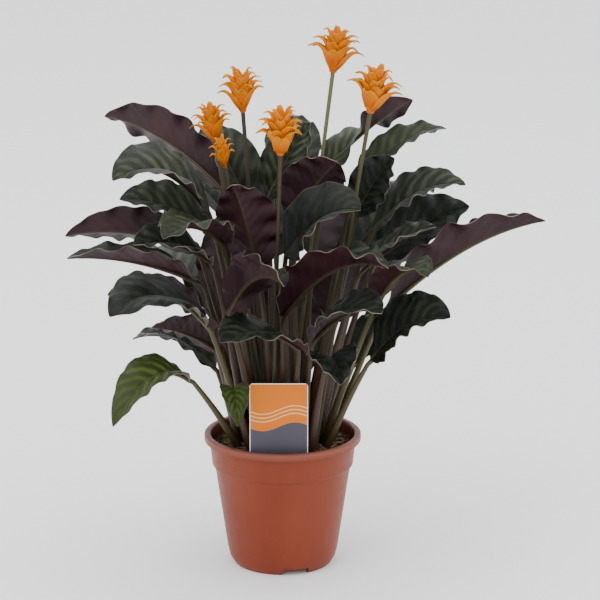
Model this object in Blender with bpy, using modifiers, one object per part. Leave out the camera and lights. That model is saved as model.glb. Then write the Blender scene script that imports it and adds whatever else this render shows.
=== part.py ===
"""Eternal flame calathea in its nursery pot.

Frame: +Z up, the pot's axis on Z, the pot standing on z = 0, and -Y towards the front.
Every leaf is one solid from its stalk's foot to its blade's tip, and stands in its own hole in the soil.
"""

import math
from collections import namedtuple
from itertools import combinations

import bmesh
import bpy
from mathutils import Matrix, Vector

MM = 0.001
UP = Vector((0, 0, 1))
FIT = 0.3 * MM  # gap between pieces that touch
ROUND_STEPS = 32

# Pot: a 14 cm nursery pot, radii and heights in millimetres
POT_HEIGHT = 120.0
POT_RADIUS = 70.0
FLOOR_HEIGHT = 7.5
NOTCH_COUNT = 3
NOTCH_SIZE = (24.0, 16.0, 5.5)
NOTCH_TURN = 15.0  # degrees from the front to the first notch
DRAIN_COUNT = 6
DRAIN_RADIUS = 3.5
DRAIN_CIRCLE = 36.5
DRAIN_CUT = (3.0, 10.0)  # heights that a drain hole's cutter spans

# Pot wall seen from outside, rim to foot
POT_OUTSIDE = [
    (POT_RADIUS - 0.9, POT_HEIGHT),
    (POT_RADIUS, POT_HEIGHT - 1.0),
    (POT_RADIUS, POT_HEIGHT - 6.0),
    (65.3, POT_HEIGHT - 6.3),
    (63.0, 92.0),
    (60.6, 90.0),
    (49.5, 14.5),
    (47.6, 6.5),
    (43.6, 0.0),
]
# Underside: foot ring, drain channel and centre pad
POT_UNDERSIDE = [(40.8, 0.0), (40.0, 5.5), (31.5, 5.5), (30.5, 0.0), (0.0, 0.0)]
# Inside: centre well, floor over the channel and wall up to the rim
POT_INSIDE = [
    (0.0, 2.0),
    (28.4, 2.0),
    (29.2, FLOOR_HEIGHT),
    (44.8, FLOOR_HEIGHT),
    (47.8, 15.0),
    (58.9, 90.4),
    (61.3, 92.4),
    (64.0, POT_HEIGHT - 1.2),
    (65.0, POT_HEIGHT),
]

# Soil, in millimetres
SOIL_EDGE = 107.0
SOIL_CROWN = 111.0
SOIL_RADIUS = 62.4
SOIL_GAP = 0.35  # between the soil and the pot's inside
STALK_DEPTH = 13.0
COLLAR = 2.5  # how high a stalk stands upright above the soil before it leans

# Plant label, in millimetres
TAG_WIDTH = 51.0
TAG_TOP = 181.0
TAG_FOOT = 111.5
TAG_THICKNESS = 0.8
TAG_PLACE = (-3.0, -55.0)
TAG_CORNER = 3.0
STAKE_WIDTH = 14.0
STAKE_SHOULDER = 2.0
STAKE_TAPER = 0.8  # width above the point, as a share of the stake's
STAKE_POINT = 10.0
STAKE_TIP = 82.0
SLIT_PLAY = 1.5

# Leaf stalks and blades
STALK_FOOT_RADIUS = 3.2 * MM
STALK_NECK_RADIUS = 2.1 * MM
STALK_CORNERS = 6
STALK_RINGS = 3
STALK_BOW = 0.08
STEM_BOW = 0.03
BLADE_RINGS = 10
BLADE_THICKNESS = 0.9 * MM
TIP_WIDTH = 1.2 * MM
WAVE_HEIGHT = 3.8 * MM
FULL_WAVE = 12.0 * MM  # half width from which a blade waves fully
FOOT_LIMIT = 44.0 * MM
FOOT_SPACE = 10.0 * MM
FOOT_ROUNDS = 60
STEEPEST_LEAN = 0.75  # a stalk that leans this much, run over rise, stands at the edge of the clump

# Where each leaf's blade begins and ends, in millimetres. rise lifts the blade's middle above the straight line,
# lean turns the upper face from straight up (x right, y back), fold raises both halves, and twist turns the tip.
Leaf = namedtuple("Leaf", "neck tip rise width lean fold twist", defaults=(20, 0))
LEAVES = [
    # left side, top to bottom
    Leaf((-52, 20, 338), (-159, 70, 393), 12, 58, (0.3, 1.6)),
    Leaf((-62, -32, 328), (-142, -90, 369), 22, 68, (-0.2, -0.5)),
    Leaf((-60, 8, 303), (-141, -20, 337), 8, 54, (0, -0.5)),
    Leaf((-50, -52, 306), (-97, -145, 332), 12, 54, (-0.25, -0.65)),
    Leaf((-60, -38, 286), (-124, -108, 318), 8, 50, (0, -0.5)),
    Leaf((-75, 45, 275), (-194, 40, 290), 10, 54, (0, 1.3), 25),
    Leaf((-70, 5, 256), (-188, -20, 284), 8, 54, (0, 0.1), 32),
    Leaf((-68, 16, 222), (-156, 22, 240), 10, 54, (0, 0.8)),
    Leaf((-64, -50, 233), (-143, -140, 264), 22, 70, (-0.2, -0.6), 10),
    Leaf((-54, -10, 196), (-114, -42, 228), 6, 54, (0.3, 1)),
    Leaf((-80, -60, 187), (-144, -110, 159), 22, 52, (-0.4, -0.5)),
    Leaf((-44, -62, 176), (-38, -88, 152), 14, 28, (0, -0.1), 25),
    # middle, seen from the front
    Leaf((-20, -46, 280), (-42, -66, 360), 6, 60, (0.3, 2.2)),
    Leaf((-46, -58, 246), (2, -132, 288), 18, 52, (0.5, 0.3), 35),
    Leaf((15, -56, 213), (-50, -148, 244), 12, 64, (-0.1, -0.45), 10),
    Leaf((0, -50, 240), (90, -102, 296), 20, 68, (0, 0.1), 34),
    Leaf((26, -50, 218), (84, -122, 262), 12, 60, (0.2, -0.6)),
    Leaf((2, -36, 290), (66, -100, 346), 14, 64, (0.2, -0.9)),
    Leaf((10, 0, 312), (48, -30, 372), 6, 58, (0, 2)),
    Leaf((-14, 10, 330), (24, 24, 396), 4, 44, (-0.5, -1.4)),
    Leaf((38, -60, 200), (50, -124, 200), 14, 46, (0, -0.5)),
    # right side, top to bottom
    Leaf((34, 42, 348), (116, 68, 408), 6, 46, (0, -0.6), 20, -120),
    Leaf((62, 16, 336), (145, 42, 387), 14, 48, (0, -0.1)),
    Leaf((64, -12, 320), (97, -22, 374), 6, 42, (-0.2, -1.2)),
    Leaf((78, -8, 307), (159, -20, 350), 14, 54, (0.1, -0.3)),
    Leaf((66, -28, 274), (131, -64, 323), 5, 48, (0.1, -0.3)),
    Leaf((82, 24, 272), (166, 36, 318), 8, 56, (-0.2, -0.9)),
    Leaf((84, -36, 252), (124, -92, 286), 14, 54, (0.2, -0.35)),
    Leaf((91, 0, 235), (229, -20, 318), 14, 54, (0, 0.3), 50),
    Leaf((77, -40, 198), (144, -80, 247), 14, 62, (0.1, -0.6)),
    # back
    Leaf((10, 40, 330), (8, 120, 384), 8, 54, (0, -0.7)),
    Leaf((-28, 38, 312), (-72, 90, 380), 8, 56, (0, -0.8)),
    Leaf((-35, 45, 285), (-110, 120, 340), 12, 60, (-0.2, 0.3)),
    Leaf((28, 50, 268), (46, 104, 352), 8, 64, (0, 1.4)),
    Leaf((60, 45, 270), (140, 120, 318), 14, 62, (0.2, 0)),
    Leaf((-6, 52, 268), (-10, 178, 318), 16, 66, (0, 0.3)),
    Leaf((-42, 58, 205), (-60, 92, 296), 6, 66, (0, 2.2)),
    Leaf((48, 58, 205), (66, 92, 294), 6, 66, (0, 2.2)),
    Leaf((2, 64, 160), (6, 90, 250), 5, 68, (0, 2.4)),
    Leaf((-60, 26, 172), (-136, 56, 190), 14, 56, (-0.1, 0)),
    Leaf((64, 26, 176), (120, 58, 208), 12, 54, (0.1, 0)),
    Leaf((-68, 70, 214), (-126, 154, 250), 16, 62, (0, 0.3)),
    Leaf((80, 76, 216), (128, 156, 256), 16, 60, (0, 0.3)),
    Leaf((14, 66, 150), (14, 176, 196), 16, 64, (0, 0.3)),
]

# Flower heads: where the stem ends, about where it leaves the soil, the head's height and width, in millimetres,
# and its bract count
Bloom = namedtuple("Bloom", "base foot height width bracts")
BLOOMS = [
    Bloom((44, 10, 443), (4, 2), 40, 47, 14),
    Bloom((75, -50, 419), (34, -22), 42, 47, 14),
    Bloom((-34, 0, 410), (-14, 6), 40, 42, 14),
    Bloom((-1, -85, 390), (-14, -24), 43, 45, 14),
    Bloom((-58, 0, 384), (-16, 0), 35, 38, 12),
    Bloom((-49, -28, 367), (-16, -9), 29, 24, 9),
]
FLOWER_STEM_RADIUS = 2.1 * MM
BRACT_WIDTH = 0.21  # of the head's width
BRACT_THICKNESS = 0.8 * MM
GOLDEN_ANGLE = math.radians(137.5)


def clear_scene():
    for old in list(bpy.data.objects):
        bpy.data.objects.remove(old)


def new_collection(name):
    made = bpy.data.collections.new(name)
    bpy.context.scene.collection.children.link(made)
    return made


def material(name, colour, roughness):
    made = bpy.data.materials.new(name)
    made.use_nodes = True
    shader = made.node_tree.nodes["Principled BSDF"]
    shader.inputs["Base Color"].default_value = (*colour, 1)
    shader.inputs["Roughness"].default_value = roughness
    shader.inputs["Metallic"].default_value = 0
    return made


def mesh_object(name, bm, collection, finish=None):
    """The object that holds this bmesh."""
    mesh = bpy.data.meshes.new(name)
    bm.to_mesh(mesh)
    bm.free()
    made = bpy.data.objects.new(name, mesh)
    collection.objects.link(made)
    if finish:
        mesh.materials.append(finish)
    return made


def apply_modifiers(obj):
    """Replaces the object's mesh by what its modifiers make of it."""
    graph = bpy.context.evaluated_depsgraph_get()
    mesh = bpy.data.meshes.new_from_object(obj.evaluated_get(graph))
    obj.modifiers.clear()
    obj.data = mesh


def cut(obj, cutters):
    """Cuts every cutter of the collection from the object."""
    modifier = obj.modifiers.new("Cut", "BOOLEAN")
    modifier.operation = "DIFFERENCE"
    modifier.operand_type = "COLLECTION"
    modifier.collection = cutters
    modifier.solver = "EXACT"
    for cutter in cutters.objects:
        cutter.hide_render = True
        cutter.display_type = "WIRE"


def turned(name, profile, collection, finish):
    """A round shape from a closed outline of (radius, height) in millimetres."""
    bm = bmesh.new()
    points = [bm.verts.new((radius * MM, 0, height * MM)) for radius, height in profile]
    for first, second in zip(points, points[1:]):
        bm.edges.new((first, second))
    made = mesh_object(name, bm, collection, finish)
    screw = made.modifiers.new("Turn", "SCREW")
    screw.steps = ROUND_STEPS
    screw.render_steps = ROUND_STEPS
    screw.use_merge_vertices = True
    screw.merge_threshold = 0.0001
    return made


def box_cutter(name, size, place, turn, cutters):
    """A box of that size in millimetres, turned about the pot's axis."""
    bm = bmesh.new()
    bmesh.ops.create_cube(bm, size=1)
    bmesh.ops.scale(bm, vec=Vector(size) * MM, verts=bm.verts)
    bmesh.ops.translate(bm, vec=Vector(place) * MM, verts=bm.verts)
    bmesh.ops.rotate(bm, matrix=Matrix.Rotation(turn, 3, "Z"), verts=bm.verts)
    return mesh_object(name, bm, cutters)


def rod_cutter(name, start, end, radius, cutters, corners=STALK_CORNERS):
    """A straight rod between two points, for a hole."""
    bm = bmesh.new()
    along = end - start
    bmesh.ops.create_cone(
        bm, cap_ends=True, segments=corners, radius1=radius, radius2=radius, depth=along.length
    )
    turn = along.to_track_quat("Z", "Y").to_matrix()
    bmesh.ops.rotate(bm, matrix=turn, verts=bm.verts)
    bmesh.ops.translate(bm, vec=(start + end) / 2, verts=bm.verts)
    return mesh_object(name, bm, cutters)


def make_pot(parts, finish):
    """The pot: a thin moulded wall with a rim, notches in its foot and drain holes in its floor."""
    pot = turned("pot", POT_OUTSIDE + POT_UNDERSIDE + POT_INSIDE + POT_OUTSIDE[:1], parts, finish)
    cutters = new_collection("pot cutters")
    foot_radius = POT_OUTSIDE[-1][0]
    for index in range(NOTCH_COUNT):
        turn = math.radians(NOTCH_TURN) + math.tau * index / NOTCH_COUNT
        place = (0, -foot_radius - 2, NOTCH_SIZE[2] / 2 - 1)
        size = (NOTCH_SIZE[0], NOTCH_SIZE[1], NOTCH_SIZE[2] + 2)
        box_cutter(f"notch_{index + 1}", size, place, turn, cutters)
    for index in range(DRAIN_COUNT):
        angle = math.tau * (index + 0.5) / DRAIN_COUNT
        centre = Vector((math.sin(angle), -math.cos(angle), 0)) * DRAIN_CIRCLE * MM
        bottom, top = (centre + UP * height * MM for height in DRAIN_CUT)
        rod_cutter(f"drain_{index + 1}", bottom, top, DRAIN_RADIUS * MM, cutters)
    cut(pot, cutters)
    return pot


def make_soil(parts, finish, holes):
    """The soil that fills the pot, with a hole for each stalk and a slit for the label."""
    surface = [(0.0, SOIL_CROWN), (26.0, SOIL_CROWN - 0.6), (50.0, SOIL_EDGE + 1.2), (SOIL_RADIUS, SOIL_EDGE)]
    inside = [(max(radius - SOIL_GAP, 0.0), height) for radius, height in POT_INSIDE]
    wall = inside[6:3:-1]
    floor = [(radius, height + SOIL_GAP) for radius, height in inside[3::-1]]
    soil = turned("soil", surface + wall + floor, parts, finish)
    cut(soil, holes)
    return soil


def soil_height(radius):
    """Height of the soil's surface at that distance from the axis."""
    share = min(radius / (SOIL_RADIUS * MM), 1)
    return (SOIL_CROWN + (SOIL_EDGE - SOIL_CROWN) * share**2) * MM


def make_tag(parts, finish, holes):
    """The plant label: a card with round top corners and a pointed stake in the soil."""
    half, stake = TAG_WIDTH / 2, STAKE_WIDTH / 2
    chamfer = TAG_CORNER * (1 - math.cos(math.radians(45)))
    right = [
        (stake * STAKE_TAPER, STAKE_TIP + STAKE_POINT),
        (stake, TAG_FOOT - STAKE_SHOULDER),
        (half, TAG_FOOT),
        (half, TAG_TOP - TAG_CORNER),
        (half - chamfer, TAG_TOP - chamfer),
        (half - TAG_CORNER, TAG_TOP),
    ]
    outline = [(0, STAKE_TIP)] + right + [(-across, height) for across, height in reversed(right)]
    curve = bpy.data.curves.new("label", "CURVE")
    curve.dimensions = "2D"
    curve.fill_mode = "BOTH"
    curve.extrude = TAG_THICKNESS * MM / 2
    spline = curve.splines.new("POLY")
    spline.points.add(len(outline) - 1)
    for point, (across, height) in zip(spline.points, outline):
        point.co = (across * MM, height * MM, 0, 1)
    spline.use_cyclic_u = True
    curve.materials.append(finish)
    tag = bpy.data.objects.new("label", curve)
    tag.location = (TAG_PLACE[0] * MM, TAG_PLACE[1] * MM, 0)
    tag.rotation_euler = (math.radians(90), 0, 0)
    parts.objects.link(tag)
    slit = (STAKE_WIDTH + SLIT_PLAY, TAG_THICKNESS + 2 * FIT / MM, TAG_FOOT + 20 - STAKE_TIP)
    place = (TAG_PLACE[0], TAG_PLACE[1], STAKE_TIP - FIT / MM + slit[2] / 2)
    box_cutter("label_slit", slit, place, 0, holes)


def loft(name, rings, parts, finish):
    """One closed solid through rings of equal count. Both faces of a blade are split along the same diagonals."""
    bm = bmesh.new()
    rows = [[bm.verts.new(point) for point in ring] for ring in rings]
    count = len(rings[0])
    half = count // 2
    for low, high in zip(rows, rows[1:]):
        for index in range(count):
            after = (index + 1) % count
            # The diagonal runs outwards from the midrib, which is corner 1 above and corner 4 below.
            outward = index in (1, half + 1)
            if outward:
                bm.faces.new((low[index], low[after], high[after]))
                bm.faces.new((low[index], high[after], high[index]))
            else:
                bm.faces.new((low[index], low[after], high[index]))
                bm.faces.new((low[after], high[after], high[index]))
    for cap in (rows[0][::-1], rows[-1]):
        bm.faces.new(cap)
    bmesh.ops.triangulate(bm, faces=[face for face in bm.faces if len(face.verts) > 3])
    bmesh.ops.recalc_face_normals(bm, faces=bm.faces)
    return mesh_object(name, bm, parts, finish)


def bezier(points, share):
    """A point on the curve that these control points give."""
    while len(points) > 1:
        points = [a.lerp(b, share) for a, b in zip(points, points[1:])]
    return points[0]


def smooth(share):
    share = max(0.0, min(1.0, share))
    return share * share * (3 - 2 * share)


def blade_outline(share):
    """Half width of a blade along its length, as a share of the widest: round at the neck and drawn out at the tip."""
    return math.sin(math.pi * share**0.85) ** 0.75 if 0 < share < 1 else 0.0


def face_frame(along, face):
    """Side and up directions of a section that runs along one direction and faces another."""
    side = along.cross(face).normalized()
    return side, side.cross(along).normalized()


def stalk_ring(centre, side, up, radius):
    """A six-cornered section, in the order that a blade's section has."""
    angles = [math.radians(a) for a in (150, 90, 30, -30, -90, -150)]
    return [centre + (side * math.cos(a) + up * math.sin(a)) * radius for a in angles]


def blade_ring(centre, side, up, half_width, rib, fold, waves):
    """A folded blade's section: left edge, midrib and right edge above, then the same three below."""
    ring = {}
    for hand, wave in zip((-1, 1), waves):
        across = side * hand * math.cos(fold) + up * math.sin(fold)
        normal = up * math.cos(fold) - side * hand * math.sin(fold)
        edge = centre + across * half_width + normal * wave
        ring[hand] = (edge, edge - normal * BLADE_THICKNESS)
    return [ring[-1][0], centre, ring[1][0], ring[1][1], centre - up * rib, ring[-1][1]]


def stalk_feet():
    """Where each stalk and flower stem comes out of the soil: the more it leans, the further out it stands."""
    feet = []
    for leaf in LEAVES:
        neck = Vector(leaf.neck) * MM
        lean = neck.xy.length / (neck.z - SOIL_CROWN * MM)
        feet.append(neck.xy.normalized() * FOOT_LIMIT * min(lean / STEEPEST_LEAN, 1) ** 0.7)
    feet += [Vector(bloom.foot) * MM for bloom in BLOOMS]
    for _ in range(FOOT_ROUNDS):
        for one, other in combinations(range(len(feet)), 2):
            apart = feet[one] - feet[other]
            push = (FOOT_SPACE - apart.length) / 2
            if push > 0:
                feet[one] += apart.normalized() * push
                feet[other] -= apart.normalized() * push
        for foot in feet:
            if foot.length > FOOT_LIMIT:
                foot *= FOOT_LIMIT / foot.length
    return [Vector((*foot, soil_height(foot.length))) for foot in feet]


def stalk_path(foot, end, bow):
    """Control points of a stalk above the soil. Its middle is raised by that share of its climb."""
    start = foot + UP * COLLAR * MM
    return [start, start.lerp(end, 0.5) + UP * bow * (end.z - start.z), end]


def stand_in_soil(foot, radius, name, holes):
    """Sinks a stalk's foot into its own upright hole and returns the end that is under the soil."""
    bottom = foot - UP * STALK_DEPTH * MM
    hole = (radius + FIT) / math.cos(math.pi / STALK_CORNERS)
    rod_cutter(f"hole_{name}", bottom - UP * FIT, foot + UP * STALK_DEPTH * MM, hole, holes)
    return bottom


def leaf_rings(leaf, foot, bottom, path):
    """Sections of a leaf from the foot of its stalk to the tip of its blade."""
    neck, tip = Vector(leaf.neck) * MM, Vector(leaf.tip) * MM
    face = Vector((*leaf.lean, 1)).normalized()
    blade = [neck, (neck + tip) / 2 + UP * 2 * leaf.rise * MM, tip]
    into_blade = ((path[2] - path[1]).normalized() + (blade[1] - blade[0]).normalized()).normalized()
    neck_side, neck_up = face_frame(into_blade, face)
    rings = [stalk_ring(bottom, *face_frame(UP, neck_up), STALK_FOOT_RADIUS)]
    for step in range(STALK_RINGS):
        share = step / STALK_RINGS
        along = (bezier(path, share + 0.02) - bezier(path, share)).normalized()
        if step == 0:
            along = (along + UP).normalized()
        radius = STALK_FOOT_RADIUS + (STALK_NECK_RADIUS - STALK_FOOT_RADIUS) * share
        rings.append(stalk_ring(bezier(path, share), *face_frame(along, neck_up), radius))
    rings.append(stalk_ring(neck, neck_side, neck_up, STALK_NECK_RADIUS))
    for step in range(1, BLADE_RINGS + 1):
        share = step / BLADE_RINGS
        ahead, behind = min(share + 0.02, 1), max(share - 0.02, 0)
        along = (bezier(blade, ahead) - bezier(blade, behind)).normalized()
        side, up = face_frame(along, face)
        turn = Matrix.Rotation(math.radians(leaf.twist) * smooth(share), 3, along)
        side, up = turn @ side, turn @ up
        centre = bezier(blade, share)
        half_width = max(leaf.width * MM / 2 * blade_outline(share), TIP_WIDTH / 2)
        rib = BLADE_THICKNESS + (2 * STALK_NECK_RADIUS - BLADE_THICKNESS) * (1 - share) ** 1.5
        wave = WAVE_HEIGHT * math.cos(math.pi * step) * min(half_width / FULL_WAVE, 1)
        if step == BLADE_RINGS:
            wave = 0
        fold = math.radians(leaf.fold) * smooth(share * 4)
        rings.append(blade_ring(centre, side, up, half_width, rib, fold, (wave, -wave)))
    return rings


def make_leaf(name, leaf, foot, parts, finish, holes):
    """A leaf: its stalk, from its hole in the soil, and its waved blade."""
    path = stalk_path(foot, Vector(leaf.neck) * MM, STALK_BOW)
    bottom = stand_in_soil(foot, STALK_FOOT_RADIUS, name, holes)
    return loft(name, leaf_rings(leaf, foot, bottom, path), parts, finish)


def make_flower_stem(name, bloom, foot, parts, finish, holes):
    """A flower stem: a round tube from its hole in the soil to the flower head. Gives the direction it ends in."""
    end = Vector(bloom.base) * MM
    path = stalk_path(foot, end, STEM_BOW)
    bottom = stand_in_soil(foot, FLOWER_STEM_RADIUS, name, holes)
    points = [bottom] + [bezier(path, step / 5) for step in range(6)]
    curve = bpy.data.curves.new(name, "CURVE")
    curve.dimensions = "3D"
    curve.bevel_depth = FLOWER_STEM_RADIUS
    curve.bevel_resolution = 1
    curve.use_fill_caps = True
    spline = curve.splines.new("POLY")
    spline.points.add(len(points) - 1)
    for point, place in zip(spline.points, points):
        point.co = (*place, 1)
    curve.materials.append(finish)
    parts.objects.link(bpy.data.objects.new(name, curve))
    return (points[-1] - points[-2]).normalized()


def bract(bloom, index):
    """Rings of one bract: rising close to the core, then bent outwards to a point."""
    share = index / (bloom.bracts - 1)
    turn = Matrix.Rotation(GOLDEN_ANGLE * index, 3, "Z")
    outward, side = turn @ Vector((0, -1, 0)), turn @ Vector((1, 0, 0))
    height, reach = bloom.height * MM, bloom.width * MM / 2
    width = BRACT_WIDTH * bloom.width * MM * (1.1 - 0.35 * share)
    root_z = height * (0.16 + 0.42 * share)
    bend_z = height * (0.42 + 0.40 * share)
    tip_z = height * (0.46 + 0.54 * share)
    tip_out = reach * (1.0 - 0.62 * share**1.6)
    bend_out = reach * (0.62 - 0.26 * share)
    stations = [
        (outward * reach * 0.16 + UP * root_z, width * 0.42),
        (outward * bend_out + UP * bend_z, width * 0.50),
        (outward * tip_out + UP * tip_z, TIP_WIDTH / 2),
    ]
    rings = []
    for step, (centre, half_width) in enumerate(stations):
        before, after = stations[max(step - 1, 0)][0], stations[min(step + 1, 2)][0]
        up = side.cross((after - before).normalized())
        rings.append(blade_ring(centre, -side, -up, half_width, BRACT_THICKNESS, math.radians(22), (0, 0)))
    return rings


def make_bloom(name, bloom, axis, parts, finish):
    """A flower head: pointed bracts in a spiral, fused to a slim core that stands on the stem."""
    pieces = new_collection(name + " pieces")
    height, reach = bloom.height * MM, bloom.width * MM / 2
    profile = [(0.0, 0.92), (0.24, 0.86), (0.42, 0.62), (0.44, 0.42), (0.12, 0.0), (0.0, 0.0)]
    bm = bmesh.new()
    points = [bm.verts.new((reach * radius, 0, height * level)) for radius, level in profile]
    for first, second in zip(points, points[1:]):
        bm.edges.new((first, second))
    bmesh.ops.spin(
        bm, geom=bm.verts[:] + bm.edges[:], axis=UP, cent=(0, 0, 0), steps=8, angle=math.tau, use_merge=True
    )
    bmesh.ops.remove_doubles(bm, verts=bm.verts, dist=0.00001)
    bmesh.ops.recalc_face_normals(bm, faces=bm.faces)
    head = mesh_object(name, bm, parts, finish)
    for index in range(bloom.bracts):
        loft(f"{name}_bract_{index + 1}", bract(bloom, index), pieces, finish)
    join = head.modifiers.new("Join", "BOOLEAN")
    join.operation = "UNION"
    join.operand_type = "COLLECTION"
    join.collection = pieces
    join.solver = "EXACT"
    apply_modifiers(head)
    for piece in list(pieces.objects):
        bpy.data.objects.remove(piece)
    bpy.data.collections.remove(pieces)
    head.rotation_mode = "QUATERNION"
    head.rotation_quaternion = axis.to_track_quat("Z", "Y")
    head.location = Vector(bloom.base) * MM + axis * FIT
    return head


def main():
    clear_scene()
    parts = new_collection("eternal_flame_calathea")
    holes = new_collection("soil cutters")
    terracotta = material("pot plastic", (0.42, 0.13, 0.07), 0.5)
    earth = material("soil", (0.03, 0.02, 0.014), 0.95)
    card = material("label card", (0.80, 0.35, 0.07), 0.4)
    leaf_green = material("leaf", (0.035, 0.05, 0.03), 0.45)
    stem_green = material("flower stem", (0.16, 0.17, 0.07), 0.55)
    flame = material("flower head", (0.95, 0.32, 0.01), 0.5)
    make_pot(parts, terracotta)
    make_tag(parts, card, holes)
    feet = stalk_feet()
    for number, (leaf, foot) in enumerate(zip(LEAVES, feet), 1):
        make_leaf(f"leaf_{number:02d}", leaf, foot, parts, leaf_green, holes)
    for number, (bloom, foot) in enumerate(zip(BLOOMS, feet[len(LEAVES):]), 1):
        axis = make_flower_stem(f"flower_stem_{number}", bloom, foot, parts, stem_green, holes)
        make_bloom(f"flower_head_{number}", bloom, axis, parts, flame)
    make_soil(parts, earth, holes)


main()
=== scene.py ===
"""Eternal flame calathea in its nursery pot: the look of every leaf, flower head, stem, pot and soil."""

import math
import random
from collections import namedtuple
from itertools import combinations

import bmesh
import bpy
from mathutils import Matrix, Vector, noise


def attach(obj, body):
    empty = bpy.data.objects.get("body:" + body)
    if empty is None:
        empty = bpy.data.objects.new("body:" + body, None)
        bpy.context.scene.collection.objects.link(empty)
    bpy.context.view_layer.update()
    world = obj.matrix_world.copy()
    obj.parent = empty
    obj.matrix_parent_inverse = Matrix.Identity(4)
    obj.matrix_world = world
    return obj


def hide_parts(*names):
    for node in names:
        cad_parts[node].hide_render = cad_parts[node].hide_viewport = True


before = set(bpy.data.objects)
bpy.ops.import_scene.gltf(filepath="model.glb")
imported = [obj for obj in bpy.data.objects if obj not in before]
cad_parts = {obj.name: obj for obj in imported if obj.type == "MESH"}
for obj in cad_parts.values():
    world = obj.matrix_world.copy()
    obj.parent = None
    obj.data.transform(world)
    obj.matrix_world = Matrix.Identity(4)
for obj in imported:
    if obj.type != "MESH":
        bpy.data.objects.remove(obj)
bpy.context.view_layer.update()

MM = 0.001
UP = Vector((0, 0, 1))

# Sizes in millimetres unless they are multiplied by MM
POT_HEIGHT = 120.0
POT_RADIUS = 70.0
POT_STEPS = 128
POT_EDGE = 0.45  # width of the rounding along the pot's edges
FLOOR_HEIGHT = 7.5
POT_OUTSIDE = [
    (POT_RADIUS - 0.9, POT_HEIGHT),
    (POT_RADIUS, POT_HEIGHT - 1.0),
    (POT_RADIUS, POT_HEIGHT - 6.0),
    (65.3, POT_HEIGHT - 6.3),
    (63.0, 92.0),
    (60.6, 90.0),
    (49.5, 14.5),
    (47.6, 6.5),
    (43.6, 0.0),
]
POT_UNDERSIDE = [(40.8, 0.0), (40.0, 5.5), (31.5, 5.5), (30.5, 0.0), (0.0, 0.0)]
POT_INSIDE = [
    (0.0, 2.0),
    (28.4, 2.0),
    (29.2, FLOOR_HEIGHT),
    (44.8, FLOOR_HEIGHT),
    (47.8, 15.0),
    (58.9, 90.4),
    (61.3, 92.4),
    (64.0, POT_HEIGHT - 1.2),
    (65.0, POT_HEIGHT),
]
NOTCH_COUNT = 3
NOTCH_SIZE = (24.0, 16.0, 5.5)
NOTCH_TURN = 15.0  # degrees from the front to the first notch
NOTCH_PLAY = 2.0  # reach of a notch's cutter below the foot, and of its middle beyond the foot's edge
DRAIN_COUNT = 6
DRAIN_RADIUS = 3.5
DRAIN_CIRCLE = 36.5
DRAIN_CUT = (3.0, 10.0)  # heights that a drain hole's cutter spans

SOIL_EDGE = 107.0
SOIL_CROWN = 111.0
SOIL_RADIUS = 62.4
SOIL_STEPS = 110
SOIL_RINGS = 22
SOIL_SIDE = [(60.6, 92.4), (58.2, 90.4), (47.2, 15.0), (44.2, 8.0), (28.6, 8.0), (27.8, 2.5), (0.0, 2.5)]
STALK_DEPTH = 13.0
COLLAR = 2.5  # how high a stalk stands upright above the soil before it leans
HEAP = 3.5  # how far the loose peat is heaped above its solid

TAG_WIDTH = 51.0
TAG_TOP = 181.0
TAG_FOOT = 111.5
TAG_THICKNESS = 0.7
TAG_PLACE = (-3.0, -55.0)
TAG_CORNER = 3.0
STAKE_WIDTH = 14.0
STAKE_TIP = 82.0
STAKE_POINT = 0.12  # width at the stake's lower end, as a share of the stake's

STALK_FOOT_RADIUS = 3.2 * MM
STALK_NECK_RADIUS = 2.0 * MM
SHEATH = 1.9 * MM  # how much the leaf sheath thickens a stalk's lower half
STALK_STEPS = 15
STALK_BOW = 0.08
STEM_BOW = 0.03
STEM_STEPS = 30
STEM_RADIUS = 1.9 * MM
BLADE_ACROSS = 20
BLADE_ALONG = 66
BLADE_THICKNESS = 0.5 * MM
TIP_WIDTH = 1.0 * MM
WAVE_HEIGHT = 3.8 * MM
WAVE_COUNT = 5
FULL_WAVE = 12.0 * MM  # half width from which a blade waves fully
FOOT_LIMIT = 44.0 * MM
FOOT_SPACE = 10.0 * MM
FOOT_ROUNDS = 60
STEEPEST_LEAN = 0.75  # a stalk that leans this much, run over rise, stands at the edge of the clump
GOLDEN_ANGLE = math.radians(137.5)
FIT = 0.3 * MM  # gap between a flower head and its stem

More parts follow.
